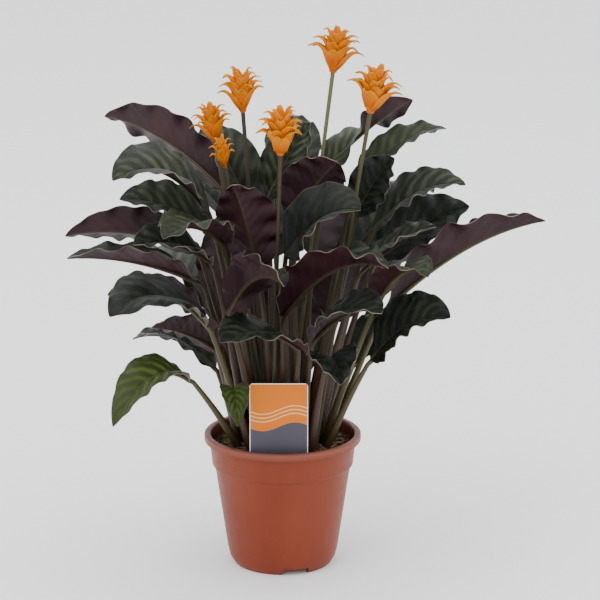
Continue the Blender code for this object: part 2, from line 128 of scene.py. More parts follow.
# Where each leaf's blade begins and ends, in millimetres. rise lifts the blade's middle above the straight
# line, lean turns the upper face from straight up (x right, y back), fold raises both halves, and twist turns
# the tip.
Leaf = namedtuple("Leaf", "neck tip rise width lean fold twist", defaults=(20, 0))
LEAVES = [
    # left side, top to bottom
    Leaf((-52, 20, 338), (-159, 70, 393), 12, 58, (0.3, 1.6)),
    Leaf((-62, -32, 328), (-142, -90, 369), 22, 68, (-0.2, -0.5)),
    Leaf((-60, 8, 303), (-141, -20, 337), 8, 54, (0, -0.5)),
    Leaf((-50, -52, 306), (-97, -145, 332), 12, 54, (-0.25, -0.65)),
    Leaf((-60, -38, 286), (-124, -108, 318), 8, 50, (0, -0.5)),
    Leaf((-75, 45, 275), (-194, 40, 290), 10, 54, (0, 1.3), 25),
    Leaf((-70, 5, 256), (-188, -20, 284), 8, 54, (0, 0.1), 32),
    Leaf((-68, 16, 222), (-156, 22, 240), 10, 54, (0, 0.8)),
    Leaf((-64, -50, 233), (-143, -140, 264), 22, 70, (-0.2, -0.6), 10),
    Leaf((-54, -10, 196), (-114, -42, 228), 6, 54, (0.3, 1)),
    Leaf((-80, -60, 187), (-144, -110, 159), 22, 52, (-0.4, -0.5)),
    Leaf((-44, -62, 176), (-38, -88, 152), 14, 28, (0, -0.1), 25),
    # middle, seen from the front
    Leaf((-20, -46, 280), (-42, -66, 360), 6, 60, (0.3, 2.2)),
    Leaf((-46, -58, 246), (2, -132, 288), 18, 52, (0.5, 0.3), 35),
    Leaf((15, -56, 213), (-50, -148, 244), 12, 64, (-0.1, -0.45), 10),
    Leaf((0, -50, 240), (90, -102, 296), 20, 68, (0, 0.1), 34),
    Leaf((26, -50, 218), (84, -122, 262), 12, 60, (0.2, -0.6)),
    Leaf((2, -36, 290), (66, -100, 346), 14, 64, (0.2, -0.9)),
    Leaf((10, 0, 312), (48, -30, 372), 6, 58, (0, 2)),
    Leaf((-14, 10, 330), (24, 24, 396), 4, 44, (-0.5, -1.4)),
    Leaf((38, -60, 200), (50, -124, 200), 14, 46, (0, -0.5)),
    # right side, top to bottom
    Leaf((34, 42, 348), (116, 68, 408), 6, 46, (0, -0.6), 20, -120),
    Leaf((62, 16, 336), (145, 42, 387), 14, 48, (0, -0.1)),
    Leaf((64, -12, 320), (97, -22, 374), 6, 42, (-0.2, -1.2)),
    Leaf((78, -8, 307), (159, -20, 350), 14, 54, (0.1, -0.3)),
    Leaf((66, -28, 274), (131, -64, 323), 5, 48, (0.1, -0.3)),
    Leaf((82, 24, 272), (166, 36, 318), 8, 56, (-0.2, -0.9)),
    Leaf((84, -36, 252), (124, -92, 286), 14, 54, (0.2, -0.35)),
    Leaf((91, 0, 235), (229, -20, 318), 14, 54, (0, 0.3), 50),
    Leaf((77, -40, 198), (144, -80, 247), 14, 62, (0.1, -0.6)),
    # back
    Leaf((10, 40, 330), (8, 120, 384), 8, 54, (0, -0.7)),
    Leaf((-28, 38, 312), (-72, 90, 380), 8, 56, (0, -0.8)),
    Leaf((-35, 45, 285), (-110, 120, 340), 12, 60, (-0.2, 0.3)),
    Leaf((28, 50, 268), (46, 104, 352), 8, 64, (0, 1.4)),
    Leaf((60, 45, 270), (140, 120, 318), 14, 62, (0.2, 0)),
    Leaf((-6, 52, 268), (-10, 178, 318), 16, 66, (0, 0.3)),
    Leaf((-42, 58, 205), (-60, 92, 296), 6, 66, (0, 2.2)),
    Leaf((48, 58, 205), (66, 92, 294), 6, 66, (0, 2.2)),
    Leaf((2, 64, 160), (6, 90, 250), 5, 68, (0, 2.4)),
    Leaf((-60, 26, 172), (-136, 56, 190), 14, 56, (-0.1, 0)),
    Leaf((64, 26, 176), (120, 58, 208), 12, 54, (0.1, 0)),
    Leaf((-68, 70, 214), (-126, 154, 250), 16, 62, (0, 0.3)),
    Leaf((80, 76, 216), (128, 156, 256), 16, 60, (0, 0.3)),
    Leaf((14, 66, 150), (14, 176, 196), 16, 64, (0, 0.3)),
]

# Leaves by number, as they stand in the list
YOUNG_LEAVES = (11, 12)
# These leaves, inside the clump, get a darker copy of the leaf top: painted shade
SHADED_LEAVES = (5, 8, 9, 10, 15, 17, 18, 21, 24, 27, 30)
OLIVE_LEAVES = (4, 22, 23, 28)
GREEN_STALKS = (8, 9, 11, 28, 29, 30)
WAVE_STRENGTH = {1: 1.3, 4: 1.3, 11: 0.4, 12: 0.3, 13: 1.2, 14: 1.4, 16: 1.3, 22: 1.0, 29: 2.0}
COMMON_WAVE_STRENGTH = 0.7
BAND_COUNT = 8
BAND_SWEEP = 0.26  # how far a band runs on towards the tip, as a share of the blade's length

# Flower heads: where the stem ends, about where it leaves the soil, the head's height and width, in
# millimetres, and its bract count
Bloom = namedtuple("Bloom", "base foot height width bracts")
BLOOMS = [
    Bloom((44, 10, 443), (4, 2), 40, 47, 20),
    Bloom((75, -50, 419), (34, -22), 42, 47, 20),
    Bloom((-34, 0, 410), (-14, 6), 40, 42, 19),
    Bloom((-1, -85, 390), (-14, -24), 43, 45, 20),
    Bloom((-58, 0, 384), (-16, 0), 35, 38, 17),
    Bloom((-49, -28, 367), (-16, -9), 29, 24, 13),
]
BRACT_THICKNESS = 0.5 * MM
FUNNEL_STEPS = 24
# A head's inner funnel and core, in shares of its reach and height
FUNNEL = [
    (0.0, 0.0),
    (0.13, 0.0),
    (0.16, 0.06),
    (0.28, 0.2),
    (0.42, 0.36),
    (0.42, 0.46),
    (0.26, 0.6),
    (0.14, 0.76),
    (0.0, 0.82),
]

FLOOR_COLOUR = (0.93, 0.93, 0.925)
SKY_COLOUR = (0.97, 0.98, 1.0, 1)
SKY_STRENGTH = 1.75
LIGHT_TARGET = (0, 0, 0.25)
# Name, place, size across and power of each light
LIGHTS = [
    ("key", (-1.1, -1.3, 2.2), 1.6, 26),
    ("fill", (1.7, -1.0, 1.4), 1.6, 5),
    ("top", (0.2, 0.7, 2.4), 1.8, 16),
]


# Camera and stage

def make_camera():
    """The photograph's viewpoint: a long lens from the front, a little above the plant."""
    camera = bpy.data.objects.new("camera", bpy.data.cameras.new("camera"))
    camera.data.sensor_width = 36
    camera.data.lens = 168.66
    camera.location = (0.0155, -2.4, 0.873)
    camera.rotation_euler = (math.radians(90 - 14.74), 0, 0)
    bpy.context.scene.collection.objects.link(camera)
    bpy.context.scene.camera = camera


def area_light(name, place, size, power):
    """A square light that faces the plant."""
    light = bpy.data.lights.new(name, "AREA")
    light.size = size
    light.energy = power
    lamp = bpy.data.objects.new(name, light)
    lamp.location = place
    lamp.rotation_euler = (Vector(LIGHT_TARGET) - Vector(place)).to_track_quat("-Z", "Y").to_euler()
    bpy.context.scene.collection.objects.link(lamp)


def make_stage():
    """A pale floor, an even sky, and soft light from above and both sides."""
    bm = bmesh.new()
    bmesh.ops.create_grid(bm, x_segments=1, y_segments=1, size=30)
    floor = new_object("floor", bm, [new_material("pale floor", FLOOR_COLOUR, 0.9)])
    world = bpy.data.worlds.new("studio")
    world.use_nodes = True
    background = world.node_tree.nodes["Background"]
    background.inputs["Color"].default_value = SKY_COLOUR
    background.inputs["Strength"].default_value = SKY_STRENGTH
    bpy.context.scene.world = world
    for name, place, size, power in LIGHTS:
        area_light(name, place, size, power)


# Materials

def srgb(code):
    """Linear colour of a six-digit colour code."""
    parts = [int(code[index:index + 2], 16) / 255 for index in (0, 2, 4)]
    return tuple(part / 12.92 if part <= 0.04045 else ((part + 0.055) / 1.055) ** 2.4 for part in parts)


def new_material(name, colour, roughness, **sockets):
    """A plain material. Other shader sockets are named with _ for a space."""
    made = bpy.data.materials.new(name)
    made.use_nodes = True
    shader = made.node_tree.nodes["Principled BSDF"]
    shader.inputs["Base Color"].default_value = (*colour, 1)
    shader.inputs["Roughness"].default_value = roughness
    for socket, value in sockets.items():
        shader.inputs[socket.replace("_", " ")].default_value = value
    return made


class Shading:
    """Adds nodes to one material."""

    def __init__(self, material):
        self.tree = material.node_tree
        self.shader = self.tree.nodes["Principled BSDF"]

    def plug(self, socket, value):
        """Links a socket, or sets a number, a vector or a colour on it."""
        if isinstance(value, bpy.types.NodeSocket):
            self.tree.links.new(value, socket)
        elif isinstance(value, tuple) and len(value) == 3 and socket.type == "RGBA":
            socket.default_value = (*value, 1)
        else:
            socket.default_value = value

    def maths(self, operation, *values):
        made = self.tree.nodes.new("ShaderNodeMath")
        made.operation = operation
        for socket, value in zip(made.inputs, values):
            self.plug(socket, value)
        return made.outputs[0]

    def times(self, first, second):
        return self.maths("MULTIPLY", first, second)

    def object_place(self):
        return self.tree.nodes.new("ShaderNodeTexCoord").outputs["Object"]

    def uv(self):
        """The piece's own map: from side to side and from root to tip, both from 0 to 1."""
        split = self.tree.nodes.new("ShaderNodeSeparateXYZ")
        self.plug(split.inputs[0], self.tree.nodes.new("ShaderNodeUVMap").outputs[0])
        return split.outputs[0], split.outputs[1]

    def from_middle(self, side):
        """0 along the middle of a piece's map and 1 at both its edges."""
        return self.times(self.maths("ABSOLUTE", self.maths("SUBTRACT", side, 0.5)), 2)

    def xyz(self):
        split = self.tree.nodes.new("ShaderNodeSeparateXYZ")
        self.plug(split.inputs[0], self.object_place())
        return split.outputs

    def grain(self, scale, detail=3.0, stretch=(1, 1, 1)):
        """Noise in object space, from 0 to 1."""
        mapping = self.tree.nodes.new("ShaderNodeMapping")
        mapping.inputs["Scale"].default_value = stretch
        self.plug(mapping.inputs["Vector"], self.object_place())
        made = self.tree.nodes.new("ShaderNodeTexNoise")
        made.inputs["Scale"].default_value = scale
        made.inputs["Detail"].default_value = detail
        self.plug(made.inputs["Vector"], mapping.outputs[0])
        return made.outputs[0]

    def ramp(self, factor, *stops):
        """Colours at places from 0 to 1 along a factor."""
        made = self.tree.nodes.new("ShaderNodeValToRGB")
        elements = made.color_ramp.elements
        while len(elements) < len(stops):
            elements.new(0.5)
        for element, (place, colour) in zip(elements, stops):
            element.position = place
            element.color = (*colour, 1)
        self.plug(made.inputs[0], factor)
        return made.outputs[0]

    def mix(self, factor, first, second):
        made = self.tree.nodes.new("ShaderNodeMix")
        made.data_type = "RGBA"
        self.plug(made.inputs[0], factor)
        self.plug(made.inputs[6], first)
        self.plug(made.inputs[7], second)
        return made.outputs[2]

    def between(self, value, low, high):
        """0 below low, 1 above high, and smooth between."""
        made = self.tree.nodes.new("ShaderNodeMapRange")
        made.interpolation_type = "SMOOTHSTEP"
        self.plug(made.inputs[0], value)
        made.inputs[1].default_value = low
        made.inputs[2].default_value = high
        return made.outputs[0]

    def falling(self, value, low, high):
        """1 below low, 0 above high, and smooth between."""
        return self.maths("SUBTRACT", 1.0, self.between(value, low, high))

    def finish(self, colour, roughness=None, height=None, depth=0.001, strength=0.5):
        """Plugs in the colour, and where they are given the roughness and a relief of that depth in metres."""
        self.plug(self.shader.inputs["Base Color"], colour)
        if roughness is not None:
            self.plug(self.shader.inputs["Roughness"], roughness)
        if height is not None:
            bump = self.tree.nodes.new("ShaderNodeBump")
            bump.inputs["Strength"].default_value = strength
            bump.inputs["Distance"].default_value = depth
            self.plug(bump.inputs["Height"], height)
            self.plug(self.shader.inputs["Normal"], bump.outputs[0])


def vein_lines(shading, across, along, count, sweep):
    """Side veins that leave the midrib and sweep towards the tip: from -1 between them to 1 on them."""
    lag = shading.times(shading.maths("POWER", across, 1.25), sweep)
    place = shading.maths("SUBTRACT", along, lag)
    return shading.maths("SINE", shading.times(place, count * math.tau))


def leaf_top(name, dark, deep_band, pale_band, rib):
    """A blade's upper face: dark green with paler feathered bands, fine side veins and a pale edge."""
    made = new_material(name, dark, 0.4, Specular_IOR_Level=0.22)
    shading = Shading(made)
    side, along = shading.uv()
    across = shading.from_middle(side)
    wobble = shading.times(shading.maths("SUBTRACT", shading.grain(55), 0.5), 0.11)
    placed = shading.maths("ADD", along, wobble)
    # Bands are strongest near the midrib and broken up by noise
    band = shading.between(vein_lines(shading, across, placed, BAND_COUNT, BAND_SWEEP), -0.7, 0.9)
    inner = shading.falling(across, 0.45, 1.0)
    broken = shading.maths("MULTIPLY_ADD", shading.between(shading.grain(45, 2.0), 0.35, 0.65), 0.7, 0.3)
    feather = shading.times(band, shading.maths("MULTIPLY_ADD", inner, 0.55, 0.22))
    feather = shading.times(feather, broken)
    # Large patches where the bands are paler: partly the leaves' own tone, partly a painted highlight for
    # leaves that face the light
    tone_and_light_patches = shading.between(shading.grain(9, 1.0), 0.38, 0.62)
    light = shading.mix(tone_and_light_patches, deep_band, pale_band)
    colour = shading.mix(feather, dark, light)
    fine = vein_lines(shading, across, placed, BAND_COUNT * 8, BAND_SWEEP)
    streak = shading.times(shading.between(fine, -0.2, 1.0), 0.14)
    colour = shading.mix(streak, colour, light)
    midrib = shading.falling(across, 0.012, 0.045)
    colour = shading.mix(shading.times(midrib, 0.6), colour, rib)
    edge = shading.between(across, 0.962, 0.99)
    colour = shading.mix(shading.times(edge, 0.35), colour, srgb("6a6250"))
    relief = shading.maths("MULTIPLY_ADD", fine, 0.16, shading.times(band, 0.8))
    relief = shading.maths("SUBTRACT", relief, shading.times(midrib, 1.2))
    gloss = shading.maths("MULTIPLY_ADD", shading.grain(60), 0.2, 0.3)
    shading.finish(colour, gloss, relief, 0.0012, 0.6)
    return made


def leaf_underside():
    """A blade's lower face: maroon in patches, with paler side veins and midrib."""
    made = new_material("leaf underside", srgb("1e0c10"), 0.5, Specular_IOR_Level=0.3)
    shading = Shading(made)
    side, along = shading.uv()
    across = shading.from_middle(side)
    veins = vein_lines(shading, across, along, 10, 0.24)
    fine = vein_lines(shading, across, along, 64, 0.24)
    colour = shading.ramp(shading.grain(30), (0.3, srgb("19080d")), (0.7, srgb("301319")))
    paler = shading.times(shading.between(veins, 0.2, 1.0), 0.25)
    colour = shading.mix(paler, colour, srgb("381c20"))
    midrib = shading.falling(across, 0.03, 0.09)
    colour = shading.mix(shading.times(midrib, 0.5), colour, srgb("43302a"))
    relief = shading.maths("MULTIPLY_ADD", fine, 0.25, shading.times(veins, 0.5))
    gloss = shading.maths("MULTIPLY_ADD", shading.grain(70), 0.2, 0.38)
    shading.finish(colour, gloss, relief, 0.0009, 0.5)
    return made


def margin_finish():
    """A blade's cut edge: pale in places and brownish in others."""
    made = new_material("leaf margin", srgb("8d7f6e"), 0.5)
    shading = Shading(made)
    colour = shading.ramp(shading.grain(55), (0.35, srgb("2b251c")), (0.65, srgb("8a7d68")))
    shading.finish(colour)
    return made


def stalk_finish(name, foot, low, high):
    """A stalk: brown at the soil and olive above, with fine lengthwise streaks."""
    made = new_material(name, low, 0.5, Specular_IOR_Level=0.35)
    shading = Shading(made)
    height = shading.xyz()[2]
    patch = shading.maths("MULTIPLY_ADD", shading.grain(28, stretch=(1, 1, 0.35)), 0.09, height)
    colour = shading.ramp(shading.between(patch, 0.12, 0.34), (0.0, foot), (0.35, low), (0.8, high))
    streaks = shading.grain(900, stretch=(1, 1, 0.05))
    colour = shading.mix(shading.times(streaks, 0.25), colour, srgb("453c22"))
    shading.finish(colour, None, streaks, 0.0004, 0.4)
    return made


def stem_finish(name, low, high):
    """A flower stem, finely haired."""
    made = new_material(name, high, 0.6, Specular_IOR_Level=0.3)
    shading = Shading(made)
    height = shading.xyz()[2]
    colour = shading.ramp(shading.between(height, 0.2, 0.42), (0.0, low), (1.0, high))
    hairs = shading.grain(1400, stretch=(1, 1, 0.12))
    colour = shading.mix(shading.times(hairs, 0.25), colour, srgb("6a674e"))
    shading.finish(colour, None, hairs, 0.0003, 0.5)
    return made


def bract_finish():
    """Waxy orange bracts: deep at the root and brighter towards the end, which are painted shade and a painted
    highlight, and brown at the drawn-out tip.
    """
    made = new_material("flame bract", (0.58, 0.15, 0.0), 0.55, Specular_IOR_Level=0.12)
    shading = Shading(made)
    side, along = shading.uv()
    across = shading.from_middle(side)
    placed = shading.maths("MULTIPLY_ADD", shading.grain(160), 0.14, along)
    # Deep orange at the root is painted shade, and the brighter orange towards the end is a painted highlight
    colour = shading.ramp(
        placed,
        (0.0, (0.34, 0.055, 0.0)),
        (0.3, (0.53, 0.115, 0.0)),
        (0.6, (0.64, 0.185, 0.0)),
        (0.88, (0.64, 0.22, 0.0)),
        (0.97, (0.42, 0.18, 0.01)),
        (1.0, (0.22, 0.11, 0.015)),
    )
    rim = shading.times(shading.between(across, 0.7, 1.0), 0.35)
    colour = shading.mix(rim, colour, (0.72, 0.29, 0.0))
    lines = shading.maths("SINE", shading.times(side, 12 * math.tau))
    shading.finish(colour, None, lines, 0.0004, 0.35)
    return made


def funnel_finish():
    """The funnel under the bracts: deep orange, with faint lengthwise folds."""
    made = new_material("flame funnel", (0.5, 0.1, 0.0), 0.55, Specular_IOR_Level=0.12)
    shading = Shading(made)
    folds = shading.grain(420, stretch=(1, 1, 0.25))
    colour = shading.ramp(folds, (0.3, (0.46, 0.08, 0.0)), (0.7, (0.56, 0.12, 0.0)))
    shading.finish(colour, None, folds, 0.0005, 0.4)
    return made


def pot_finish():
    """Moulded plastic, semi-matt, with a painted highlight that makes the rim paler, and faint flow marks."""
    made = new_material("pot plastic", srgb("742d14"), 0.5, Specular_IOR_Level=0.22)
    shading = Shading(made)
    height = shading.xyz()[2]
    flow = shading.grain(26, stretch=(1, 1, 0.3))
    colour = shading.ramp(flow, (0.3, srgb("6e2b16")), (0.7, srgb("79341d")))
    # The paler rim is a painted highlight: a mauve-grey reflection along the lip
    rim = shading.times(shading.between(height, 0.1125, 0.1205), 0.45)
    colour = shading.mix(rim, colour, srgb("865c52"))
    dust = shading.times(shading.between(shading.grain(240), 0.6, 0.85), 0.25)
    colour = shading.mix(dust, colour, srgb("8a4c30"))
    gloss = shading.maths("MULTIPLY_ADD", shading.grain(120), 0.25, 0.34)
    shading.finish(colour, gloss, shading.grain(1500), 0.0002, 0.3)
    return made


def soil_finish(name, dark, light, scale):
    """Matt and grainy, for peat, its crumbs and its bits."""
    made = new_material(name, dark, 0.95, Specular_IOR_Level=0.2)
    shading = Shading(made)
    crumbs = shading.grain(scale, 6.0)
    shading.finish(shading.ramp(crumbs, (0.35, dark), (0.75, light)), None, crumbs, 0.002, 0.9)
    return made


def card_finish():
    """A printed card: a white edge, an orange field over a grey foot, and three pale curved bands."""
    made = new_material("label card", (0.62, 0.15, 0.0), 0.45, Specular_IOR_Level=0.25)
    shading = Shading(made)
    x, _, z = shading.xyz()
    across = shading.maths("SUBTRACT", x, TAG_PLACE[0] * MM)
    swell = shading.times(shading.maths("SINE", shading.times(across, 110)), 0.004)
    level = shading.maths("SUBTRACT", z, swell)
    colour = shading.mix(shading.between(level, 0.1415, 0.1418), srgb("46444d"), (0.62, 0.15, 0.0))
    for centre in (0.150, 0.1535, 0.157):
        offset = shading.maths("ABSOLUTE", shading.maths("SUBTRACT", level, centre))
        line = shading.falling(offset, 0.0004, 0.0006)
        colour = shading.mix(shading.times(line, 0.7), colour, srgb("ecc890"))
    side = shading.between(shading.maths("ABSOLUTE", across), 0.0248, 0.0249)
    top = shading.between(z, 0.1803, 0.1804)
    colour = shading.mix(shading.maths("MAXIMUM", side, top), colour, srgb("eeeae4"))
    shading.finish(colour, None, shading.grain(2500), 0.00005, 0.2)
    return made


# Pieces

def new_object(name, bm, materials, smooth_angle=None):
    """An object at the origin from a bmesh, with smooth faces up to that angle between them."""
    mesh = bpy.data.meshes.new(name)
    bm.to_mesh(mesh)
    bm.free()
    for material in materials:
        mesh.materials.append(material)
    made = bpy.data.objects.new(name, mesh)
    bpy.context.scene.collection.objects.link(made)
    if smooth_angle:
        mesh.shade_smooth()
        mesh.set_sharp_from_angle(angle=math.radians(smooth_angle))
    return made


def apply_modifiers(piece, smooth_angle):
    """Replaces a piece's mesh by what its modifiers make of it."""
    graph = bpy.context.evaluated_depsgraph_get()
    mesh = bpy.data.meshes.new_from_object(piece.evaluated_get(graph))
    piece.modifiers.clear()
    piece.data = mesh
    mesh.shade_smooth()
    mesh.set_sharp_from_angle(angle=math.radians(smooth_angle))


def add_piece(piece, slot, *nodes):
    """Puts a finished piece on the plant's body."""
    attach(piece, "root")
    if nodes:
        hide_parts(*nodes)


def bezier(points, share):
    """A point on the curve that these control points give."""
    while len(points) > 1:
        points = [a.lerp(b, share) for a, b in zip(points, points[1:])]
    return points[0]


def smooth(share):
    """Eases from 0 to 1, and keeps to them outside."""
    share = max(0.0, min(1.0, share))
    return share * share * (3 - 2 * share)


def face_frame(along, face):
    """Side and up directions of a section that runs along one direction and faces another."""
    side = along.cross(face).normalized()
    return side, side.cross(along).normalized()


def tube(bm, points, radii, sides=10):
    """A round tube through points, closed at both ends: a flat grid that is wrapped round the line."""
    steps = len(points) - 1
    grid = bmesh.ops.create_grid(bm, x_segments=sides, y_segments=steps, size=1, calc_uvs=True)["verts"]
    frames = []
    side = None
    for step, point in enumerate(points):
        along = (points[min(step + 1, steps)] - points[max(step - 1, 0)]).normalized()
        if side is None:
            side = along.orthogonal().normalized()
        side = (side - along * side.dot(along)).normalized()
        frames.append((point, side, along.cross(side)))
    for vert in grid:
        step = round((vert.co.y + 1) / 2 * steps)
        angle = (vert.co.x + 1) * math.pi
        centre, right, up = frames[step]
        vert.co = centre + (right * math.cos(angle) + up * math.sin(angle)) * radii[step]
    bmesh.ops.remove_doubles(bm, verts=grid, dist=1e-7)
    ends = [edge for edge in bm.edges if edge.is_boundary]
    bmesh.ops.holes_fill(bm, edges=ends, sides=0)


def soil_height(radius):
    """Height of the soil's surface at that distance from the axis."""
    share = min(radius / (SOIL_RADIUS * MM), 1)
    return (SOIL_CROWN + (SOIL_EDGE - SOIL_CROWN) * share**2) * MM


def stalk_feet():
    """Where each stalk and stem comes out of the soil: the more it leans, the further out it stands."""
    feet = []
    for leaf in LEAVES:
        neck = Vector(leaf.neck) * MM
        lean = neck.xy.length / (neck.z - SOIL_CROWN * MM)
        feet.append(neck.xy.normalized() * FOOT_LIMIT * min(lean / STEEPEST_LEAN, 1) ** 0.7)
    feet += [Vector(bloom.foot) * MM for bloom in BLOOMS]
    for _ in range(FOOT_ROUNDS):
        for one, other in combinations(range(len(feet)), 2):
            apart = feet[one] - feet[other]
            push = (FOOT_SPACE - apart.length) / 2
            if push > 0:
                feet[one] += apart.normalized() * push
                feet[other] -= apart.normalized() * push
        for foot in feet:
            if foot.length > FOOT_LIMIT:
                foot *= FOOT_LIMIT / foot.length
    return [Vector((*foot, soil_height(foot.length))) for foot in feet]


def stalk_path(foot, end, bow):
    """Control points of a stalk above the soil. Its middle is raised by that share of its climb."""
    start = foot + UP * COLLAR * MM
    return [start, start.lerp(end, 0.5) + UP * bow * (end.z - start.z), end]


def blade_outline(share):
    """Half width of a blade along its length, as a share of the widest."""
    return math.sin(math.pi * share**0.85) ** 0.75 if 0 < share < 1 else 0.0


def blade_section(leaf, curve, share, seed, strength):
    """Centre, directions, half width, fold, wave and ripple of a blade at that share of its length."""
    face = Vector((*leaf.lean, 1)).normalized()
    ahead, behind = min(share + 0.02, 1), max(share - 0.02, 0)
    along = (bezier(curve, ahead) - bezier(curve, behind)).normalized()
    side, up = face_frame(along, face)
    turn = Matrix.Rotation(math.radians(leaf.twist) * smooth(share), 3, along)
    half_width = max(leaf.width * MM / 2 * blade_outline(share), TIP_WIDTH / 2)
    room = min(half_width / FULL_WAVE, 1)
    drift = 0.014 * math.sin(math.tau * (1.3 * share + seed))
    swing = strength * (0.7 + 0.3 * math.sin(math.tau * (1.7 * share + 2 * seed)))
    ends = smooth(share * 8) * smooth((1 - share) * 10)
    wave = WAVE_HEIGHT * swing * math.cos(math.tau * WAVE_COUNT * (share + drift)) * room * ends
    ripple = 0.4 * MM * room * math.sin(math.tau * (11 * share + seed))
    fold = math.radians(leaf.fold) * smooth(share * 4)
    return bezier(curve, share), turn @ side, turn @ up, half_width, fold, wave, ripple


def blade_point(section, across):
    """A point of a blade's upper face, from -1 at its left edge to 1 at its right."""
    centre, side, up, half_width, fold, wave, ripple = section
    hand = 1 if across > 0 else -1
    out = abs(across)
    outward = side * hand * math.cos(fold) + up * math.sin(fold)
    normal = up * math.cos(fold) - side * hand * math.sin(fold)
    height = half_width * 0.07 * math.sin(math.pi * out) - hand * wave * out**2.2 + ripple * out**3
    return centre + outward * half_width * out + normal * height


def make_blade(number, sections, finishes):
    """A waved blade with its own upper face, lower face and cut edge."""
    bm = bmesh.new()
    bm.loops.layers.uv.new("blade")
    bmesh.ops.create_grid(bm, x_segments=BLADE_ACROSS, y_segments=BLADE_ALONG, size=1, calc_uvs=True)
    for vert in bm.verts:
        row = round((vert.co.y + 1) / 2 * BLADE_ALONG)
        vert.co = blade_point(sections[row], vert.co.x)
    blade = new_object(f"calathea_blade_{number:02d}", bm, finishes)
    thick = blade.modifiers.new("Thickness", "SOLIDIFY")
    thick.thickness = BLADE_THICKNESS
    thick.offset = -1
    thick.material_offset = 1
    thick.material_offset_rim = 2
    apply_modifiers(blade, 55)
    add_piece(blade, "leaf", f"leaf_{number:02d}")


def make_stalk(number, foot, sections, finish):
    """A stalk that is swollen by its sheath at the soil and runs on as the midrib under its blade."""
    neck = sections[0][0]
    path = stalk_path(foot, neck, STALK_BOW)
    thicker = SHEATH / 3 if number in GREEN_STALKS else SHEATH
    points = [foot - UP * STALK_DEPTH * MM, foot - UP * 2 * MM]
    radii = [STALK_FOOT_RADIUS + thicker] * 2
    for step in range(STALK_STEPS):
        share = step / STALK_STEPS
        points.append(bezier(path, share))
        sheath = thicker * (1 - smooth(share / 0.8))
        radii.append(STALK_NECK_RADIUS + (STALK_FOOT_RADIUS - STALK_NECK_RADIUS) * (1 - share) + sheath)
    for step in range(0, BLADE_ALONG - 2, 4):
        centre, _, up, *_ = sections[step]
        radius = STALK_NECK_RADIUS * (1 - step / BLADE_ALONG) ** 1.3 + 0.25 * MM
        points.append(centre - up * radius * 0.8)
        radii.append(radius)
    bm = bmesh.new()
    bm.loops.layers.uv.new("stalk")
    tube(bm, points, radii)
    add_piece(new_object(f"calathea_stalk_{number:02d}", bm, [finish], 60), "leaf")


def make_leaf(number, leaf, foot, finishes, stalk):
    """A leaf: its blade and its stalk."""
    neck, tip = Vector(leaf.neck) * MM, Vector(leaf.tip) * MM
    curve = [neck, (neck + tip) / 2 + UP * 2 * leaf.rise * MM, tip]
    seed = number * 0.37
    strength = WAVE_STRENGTH.get(number, COMMON_WAVE_STRENGTH)
    shares = [step / BLADE_ALONG for step in range(BLADE_ALONG + 1)]
    sections = [blade_section(leaf, curve, share, seed, strength) for share in shares]
    make_blade(number, sections, finishes)
    make_stalk(number, foot, sections, stalk)


def bract_line(bloom, share):
    """Control points of a bract in (out, up) shares of the head's reach and height, and its width."""
    root = Vector((0.12, 0.04 + 0.50 * share))
    belly = Vector((0.50 - 0.22 * share, 0.22 + 0.42 * share))
    bend = Vector((0.56 - 0.27 * share, 0.60 + 0.52 * share))
    tip = Vector((1.08 - 0.64 * share**2, 0.48 + 0.47 * share))
    return [root, belly, bend, tip], bloom.width * MM * (0.33 - 0.14 * share)


def bract_width(share):
    """Width along a bract: full in its lower third, then tapered to a fine point."""
    if share < 0.35:
        return 0.75 + 0.25 * smooth(share / 0.35)
    return max(1 - ((share - 0.35) / 0.65) ** 1.3, 0.07)


def make_bract(bm, bloom, index, chance):
    """One cupped bract of a head that stands upright at the origin, counted from the lowest."""
    share = index / (bloom.bracts - 1)
    line, width = bract_line(bloom, share)
    turn = GOLDEN_ANGLE * index + chance.uniform(-0.22, 0.22)
    outward = Vector((math.sin(turn), -math.cos(turn), 0))
    side = Vector((math.cos(turn), math.sin(turn), 0))
    reach, height = bloom.width * MM / 2 * chance.uniform(0.9, 1.02), bloom.height * MM
    droop = chance.uniform(-0.04, 0.08) * (1 - share)
    lopsided = chance.uniform(-0.25, 0.25)
    grid = bmesh.ops.create_grid(bm, x_segments=6, y_segments=12, size=1, calc_uvs=True)["verts"]
    for vert in grid:
        along = (vert.co.y + 1) / 2
        point = bezier(line, along)
        after, before = bezier(line, min(along + 0.05, 1)), bezier(line, max(along - 0.05, 0))
        slope = Vector(((after.x - before.x) * reach, (after.y - before.y) * height)).normalized()
        half_width = width / 2 * bract_width(along)
        cup = half_width * (0.55 * vert.co.x**2 + lopsided * vert.co.x * along)
        out = point.x * reach - slope.y * cup
        up = (point.y - droop * along**3) * height + slope.x * cup
        vert.co = outward * out + UP * up + side * vert.co.x * half_width


def make_head(number, bloom, axis, finishes):
    """A flower head: a funnel that opens into a spiral of cupped bracts with drawn-out tips."""
    profile = [(bloom.width / 2 * out, bloom.height * up) for out, up in FUNNEL]
    bm = spun(profile, FUNNEL_STEPS)
    turn = axis.to_track_quat("Z", "Y").to_matrix().to_4x4()
    place = Matrix.Translation(Vector(bloom.base) * MM + axis * FIT) @ turn
    bmesh.ops.transform(bm, matrix=place, verts=bm.verts)
    funnel = new_object(f"flame_funnel_{number}", bm, finishes[1:], 60)
    add_piece(funnel, "flower_head", f"flower_head_{number}")
    bm = bmesh.new()
    bm.loops.layers.uv.new("bract")
    chance = random.Random(number)
    for index in range(bloom.bracts):
        make_bract(bm, bloom, index, chance)
    bmesh.ops.transform(bm, matrix=place, verts=bm.verts)
    bracts = new_object(f"flame_bracts_{number}", bm, finishes[:1])
    thick = bracts.modifiers.new("Thickness", "SOLIDIFY")
    thick.thickness = BRACT_THICKNESS
    thick.offset = 0
    apply_modifiers(bracts, 60)
    add_piece(bracts, "flower_head")


